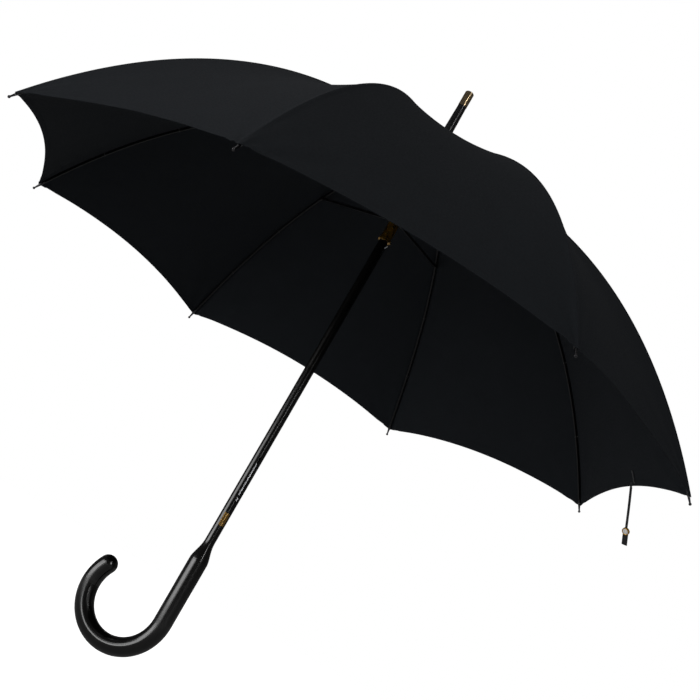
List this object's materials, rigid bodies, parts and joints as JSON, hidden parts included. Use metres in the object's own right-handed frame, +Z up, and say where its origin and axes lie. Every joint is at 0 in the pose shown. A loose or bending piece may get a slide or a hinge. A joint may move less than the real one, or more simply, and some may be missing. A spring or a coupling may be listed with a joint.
{
  "type": "stick umbrella",
  "caption": "Open stick umbrella with a crook handle, a scalloped cloth canopy on folding ribs, a sliding runner and a closing strap.",
  "frame": {"origin": "on the shaft's line, level with the lowest point of the crook", "axes": "+Z up the shaft to the ferrule; -X towards the open end of the crook"},
  "size_m": [1.04, 1.04, 0.916],
  "materials": {
    "lacquered_wood": "black gloss lacquer",
    "black_tube": "black stove enamel",
    "pale_brass": "nickel-pale brass, turned",
    "brass": "polished brass",
    "notch_black": "moulded black",
    "wire": "bright drawn wire",
    "spring_steel": "bright spring steel",
    "rib_black": "black electro-coated steel",
    "tip_metal": "nickel plated",
    "canopy_cloth": "black plain-weave polyester",
    "strap_cloth": "black woven band",
    "stud_metal": "white-nickel press stud"
  },
  "bodies": {
    "stick": {"stick": "lacquered_wood", "ferrule_tube": "black_tube", "ferrule_cap": "pale_brass", "crown_cap": "canopy_cloth", "top_notch": "notch_black", "top_notch_wire": "wire"},
    "runner": {"runner_sleeve": "brass", "runner_notch": "notch_black", "runner_wire": "wire"},
    "top_spring": {"top_spring": "spring_steel"},
    "bottom_spring": {"bottom_spring": "spring_steel"},
    "strap": {"strap": "strap_cloth", "strap_stud": "stud_metal"},
    "rib_1": {"rib_1": "rib_black", "tip_1": "tip_metal"},
    "stretcher_1": {"stretcher_1": "rib_black"},
    "rib_2": {"rib_2": "rib_black", "tip_2": "tip_metal"},
    "stretcher_2": {"stretcher_2": "rib_black"},
    "rib_3": {"rib_3": "rib_black", "tip_3": "tip_metal"},
    "stretcher_3": {"stretcher_3": "rib_black"},
    "rib_4": {"rib_4": "rib_black", "tip_4": "tip_metal"},
    "stretcher_4": {"stretcher_4": "rib_black"},
    "rib_5": {"rib_5": "rib_black", "tip_5": "tip_metal"},
    "stretcher_5": {"stretcher_5": "rib_black"},
    "rib_6": {"rib_6": "rib_black", "tip_6": "tip_metal"},
    "stretcher_6": {"stretcher_6": "rib_black"},
    "rib_7": {"rib_7": "rib_black", "tip_7": "tip_metal"},
    "stretcher_7": {"stretcher_7": "rib_black"},
    "rib_8": {"rib_8": "rib_black", "tip_8": "tip_metal"},
    "stretcher_8": {"stretcher_8": "rib_black"},
    "gore_1_left": {"gore_1_left": "canopy_cloth"},
    "gore_1_right": {"gore_1_right": "canopy_cloth"},
    "gore_2_left": {"gore_2_left": "canopy_cloth"},
    "gore_2_right": {"gore_2_right": "canopy_cloth"},
    "gore_3_left": {"gore_3_left": "canopy_cloth"},
    "gore_3_right": {"gore_3_right": "canopy_cloth"},
    "gore_4_left": {"gore_4_left": "canopy_cloth"},
    "gore_4_right": {"gore_4_right": "canopy_cloth"},
    "gore_5_left": {"gore_5_left": "canopy_cloth"},
    "gore_5_right": {"gore_5_right": "canopy_cloth"},
    "gore_6_left": {"gore_6_left": "canopy_cloth"},
    "gore_6_right": {"gore_6_right": "canopy_cloth"},
    "gore_7_left": {"gore_7_left": "canopy_cloth"},
    "gore_7_right": {"gore_7_right": "canopy_cloth"},
    "gore_8_left": {"gore_8_left": "canopy_cloth"},
    "gore_8_right": {"gore_8_right": "canopy_cloth"}
  },
  "joints": [
    {"name": "fold", "type": "hinge", "parent": "stick", "child": "rib_1", "pos_m": [-0.00707, -0.00707, 0.7978], "axis": [0.7071, -0.7071, 0], "range_deg": [0, 58], "deforming": ["gore_1_left", "gore_1_right", "gore_2_left", "gore_2_right", "gore_3_left", "gore_3_right", "gore_4_left", "gore_4_right", "gore_5_left", "gore_5_right", "gore_6_left", "gore_6_right", "gore_7_left", "gore_7_right", "gore_8_left", "gore_8_right", "top_spring", "bottom_spring"]},
    {"name": "stretcher_1_swing", "type": "hinge", "parent": "rib_1", "child": "stretcher_1", "pos_m": [-0.19405, -0.19405, 0.74762], "axis": [0.7071, -0.7071, 0], "range_deg": [-116, 0]},
    {"name": "fold_2", "type": "hinge", "parent": "stick", "child": "rib_2", "pos_m": [-0.01, 0, 0.7978], "axis": [0, -1, 0], "range_deg": [0, 58]},
    {"name": "stretcher_2_swing", "type": "hinge", "parent": "rib_2", "child": "stretcher_2", "pos_m": [-0.27443, 0, 0.74762], "axis": [0, -1, 0], "range_deg": [-116, 0]},
    {"name": "fold_3", "type": "hinge", "parent": "stick", "child": "rib_3", "pos_m": [-0.00707, 0.00707, 0.7978], "axis": [-0.7071, -0.7071, 0], "range_deg": [0, 58]},
    {"name": "stretcher_3_swing", "type": "hinge", "parent": "rib_3", "child": "stretcher_3", "pos_m": [-0.19405, 0.19405, 0.74762], "axis": [-0.7071, -0.7071, 0], "range_deg": [-116, 0]},
    {"name": "fold_4", "type": "hinge", "parent": "stick", "child": "rib_4", "pos_m": [0, 0.01, 0.7978], "axis": [-1, 0, 0], "range_deg": [0, 58]},
    {"name": "stretcher_4_swing", "type": "hinge", "parent": "rib_4", "child": "stretcher_4", "pos_m": [0, 0.27443, 0.74762], "axis": [-1, 0, 0], "range_deg": [-116, 0]},
    {"name": "fold_5", "type": "hinge", "parent": "stick", "child": "rib_5", "pos_m": [0.00707, 0.00707, 0.7978], "axis": [-0.7071, 0.7071, 0], "range_deg": [0, 58]},
    {"name": "stretcher_5_swing", "type": "hinge", "parent": "rib_5", "child": "stretcher_5", "pos_m": [0.19405, 0.19405, 0.74762], "axis": [-0.7071, 0.7071, 0], "range_deg": [-116, 0]},
    {"name": "fold_6", "type": "hinge", "parent": "stick", "child": "rib_6", "pos_m": [0.01, 0, 0.7978], "axis": [0, 1, 0], "range_deg": [0, 58]},
    {"name": "stretcher_6_swing", "type": "hinge", "parent": "rib_6", "child": "stretcher_6", "pos_m": [0.27443, 0, 0.74762], "axis": [0, 1, 0], "range_deg": [-116, 0]},
    {"name": "fold_7", "type": "hinge", "parent": "stick", "child": "rib_7", "pos_m": [0.00707, -0.00707, 0.7978], "axis": [0.7071, 0.7071, 0], "range_deg": [0, 58]},
    {"name": "stretcher_7_swing", "type": "hinge", "parent": "rib_7", "child": "stretcher_7", "pos_m": [0.19405, -0.19405, 0.74762], "axis": [0.7071, 0.7071, 0], "range_deg": [-116, 0]},
    {"name": "fold_8", "type": "hinge", "parent": "stick", "child": "rib_8", "pos_m": [0, -0.01, 0.7978], "axis": [1, 0, 0], "range_deg": [0, 58]},
    {"name": "stretcher_8_swing", "type": "hinge", "parent": "rib_8", "child": "stretcher_8", "pos_m": [0, -0.27443, 0.74762], "axis": [1, 0, 0], "range_deg": [-116, 0]},
    {"name": "runner_slide", "type": "hinge", "parent": "stretcher_1", "child": "runner", "pos_m": [-0.00707, -0.00707, 0.69745], "axis": [0.7071, -0.7071, 0], "range_deg": [0, 58]},
    {"name": "gore_1_left_fold", "type": "hinge", "parent": "rib_1", "child": "gore_1_left", "pos_m": [-0.00707, -0.00707, 0.7978], "axis": [-0.6195, -0.6195, -0.4822], "range_deg": [-68, 0]},
    {"name": "gore_1_right_fold", "type": "hinge", "parent": "rib_2", "child": "gore_1_right", "pos_m": [-0.01, 0, 0.7978], "axis": [-0.8761, 0, -0.4822], "range_deg": [0, 68]},
    {"name": "gore_2_left_fold", "type": "hinge", "parent": "rib_2", "child": "gore_2_left", "pos_m": [-0.01, 0, 0.7978], "axis": [-0.8761, 0, -0.4822], "range_deg": [-68, 0]},
    {"name": "gore_2_right_fold", "type": "hinge", "parent": "rib_3", "child": "gore_2_right", "pos_m": [-0.00707, 0.00707, 0.7978], "axis": [-0.6195, 0.6195, -0.4822], "range_deg": [0, 68]},
    {"name": "gore_3_left_fold", "type": "hinge", "parent": "rib_3", "child": "gore_3_left", "pos_m": [-0.00707, 0.00707, 0.7978], "axis": [-0.6195, 0.6195, -0.4822], "range_deg": [-68, 0]},
    {"name": "gore_3_right_fold", "type": "hinge", "parent": "rib_4", "child": "gore_3_right", "pos_m": [0, 0.01, 0.7978], "axis": [0, 0.8761, -0.4822], "range_deg": [0, 68]},
    {"name": "gore_4_left_fold", "type": "hinge", "parent": "rib_4", "child": "gore_4_left", "pos_m": [0, 0.01, 0.7978], "axis": [0, 0.8761, -0.4822], "range_deg": [-68, 0]},
    {"name": "gore_4_right_fold", "type": "hinge", "parent": "rib_5", "child": "gore_4_right", "pos_m": [0.00707, 0.00707, 0.7978], "axis": [0.6195, 0.6195, -0.4822], "range_deg": [0, 68]},
    {"name": "gore_5_left_fold", "type": "hinge", "parent": "rib_5", "child": "gore_5_left", "pos_m": [0.00707, 0.00707, 0.7978], "axis": [0.6195, 0.6195, -0.4822], "range_deg": [-68, 0]},
    {"name": "gore_5_right_fold", "type": "hinge", "parent": "rib_6", "child": "gore_5_right", "pos_m": [0.01, 0, 0.7978], "axis": [0.8761, 0, -0.4822], "range_deg": [0, 68]},
    {"name": "gore_6_left_fold", "type": "hinge", "parent": "rib_6", "child": "gore_6_left", "pos_m": [0.01, 0, 0.7978], "axis": [0.8761, 0, -0.4822], "range_deg": [-68, 0]},
    {"name": "gore_6_right_fold", "type": "hinge", "parent": "rib_7", "child": "gore_6_right", "pos_m": [0.00707, -0.00707, 0.7978], "axis": [0.6195, -0.6195, -0.4822], "range_deg": [0, 68]},
    {"name": "gore_7_left_fold", "type": "hinge", "parent": "rib_7", "child": "gore_7_left", "pos_m": [0.00707, -0.00707, 0.7978], "axis": [0.6195, -0.6195, -0.4822], "range_deg": [-68, 0]},
    {"name": "gore_7_right_fold", "type": "hinge", "parent": "rib_8", "child": "gore_7_right", "pos_m": [0, -0.01, 0.7978], "axis": [0, -0.8761, -0.4822], "range_deg": [0, 68]},
    {"name": "gore_8_left_fold", "type": "hinge", "parent": "rib_8", "child": "gore_8_left", "pos_m": [0, -0.01, 0.7978], "axis": [0, -0.8761, -0.4822], "range_deg": [-68, 0]},
    {"name": "gore_8_right_fold", "type": "hinge", "parent": "rib_1", "child": "gore_8_right", "pos_m": [-0.00707, -0.00707, 0.7978], "axis": [-0.6195, -0.6195, -0.4822], "range_deg": [0, 68]},
    {"name": "top_spring_press", "type": "hinge", "parent": "stick", "child": "top_spring", "pos_m": [0.00077, -0.00021, 0.62495], "axis": [-0.2588, -0.9659, 0], "range_deg": [0, 4], "stiffness_Nm_per_rad": 1.2},
    {"name": "bottom_spring_press", "type": "hinge", "parent": "stick", "child": "bottom_spring", "pos_m": [0.00049, -0.00063, 0.3145], "axis": [0.788, 0.6157, 0], "range_deg": [0, 4], "stiffness_Nm_per_rad": 1.2},
    {"name": "strap_swing", "type": "hinge", "parent": "gore_5_right", "child": "strap", "pos_m": [0.43273, 0.14653, 0.54025], "axis": [-0.9397, 0.342, 0], "range_deg": [-25, 60]}
  ],
  "couplings": [
    {"joint": "stretcher_1_swing", "follows": "fold", "ratio": -2},
    {"joint": "fold_2", "follows": "fold", "ratio": 1},
    {"joint": "stretcher_2_swing", "follows": "fold", "ratio": -2},
    {"joint": "fold_3", "follows": "fold", "ratio": 1},
    {"joint": "stretcher_3_swing", "follows": "fold", "ratio": -2},
    {"joint": "fold_4", "follows": "fold", "ratio": 1},
    {"joint": "stretcher_4_swing", "follows": "fold", "ratio": -2},
    {"joint": "fold_5", "follows": "fold", "ratio": 1},
    {"joint": "stretcher_5_swing", "follows": "fold", "ratio": -2},
    {"joint": "fold_6", "follows": "fold", "ratio": 1},
    {"joint": "stretcher_6_swing", "follows": "fold", "ratio": -2},
    {"joint": "fold_7", "follows": "fold", "ratio": 1},
    {"joint": "stretcher_7_swing", "follows": "fold", "ratio": -2},
    {"joint": "fold_8", "follows": "fold", "ratio": 1},
    {"joint": "stretcher_8_swing", "follows": "fold", "ratio": -2},
    {"joint": "runner_slide", "follows": "fold", "ratio": 1},
    {"joint": "gore_1_left_fold", "follows": "fold", "ratio": -1.172},
    {"joint": "gore_1_right_fold", "follows": "fold", "ratio": 1.172},
    {"joint": "gore_2_left_fold", "follows": "fold", "ratio": -1.172},
    {"joint": "gore_2_right_fold", "follows": "fold", "ratio": 1.172},
    {"joint": "gore_3_left_fold", "follows": "fold", "ratio": -1.172},
    {"joint": "gore_3_right_fold", "follows": "fold", "ratio": 1.172},
    {"joint": "gore_4_left_fold", "follows": "fold", "ratio": -1.172},
    {"joint": "gore_4_right_fold", "follows": "fold", "ratio": 1.172},
    {"joint": "gore_5_left_fold", "follows": "fold", "ratio": -1.172},
    {"joint": "gore_5_right_fold", "follows": "fold", "ratio": 1.172},
    {"joint": "gore_6_left_fold", "follows": "fold", "ratio": -1.172},
    {"joint": "gore_6_right_fold", "follows": "fold", "ratio": 1.172},
    {"joint": "gore_7_left_fold", "follows": "fold", "ratio": -1.172},
    {"joint": "gore_7_right_fold", "follows": "fold", "ratio": 1.172},
    {"joint": "gore_8_left_fold", "follows": "fold", "ratio": -1.172},
    {"joint": "gore_8_right_fold", "follows": "fold", "ratio": 1.172}
  ]
}
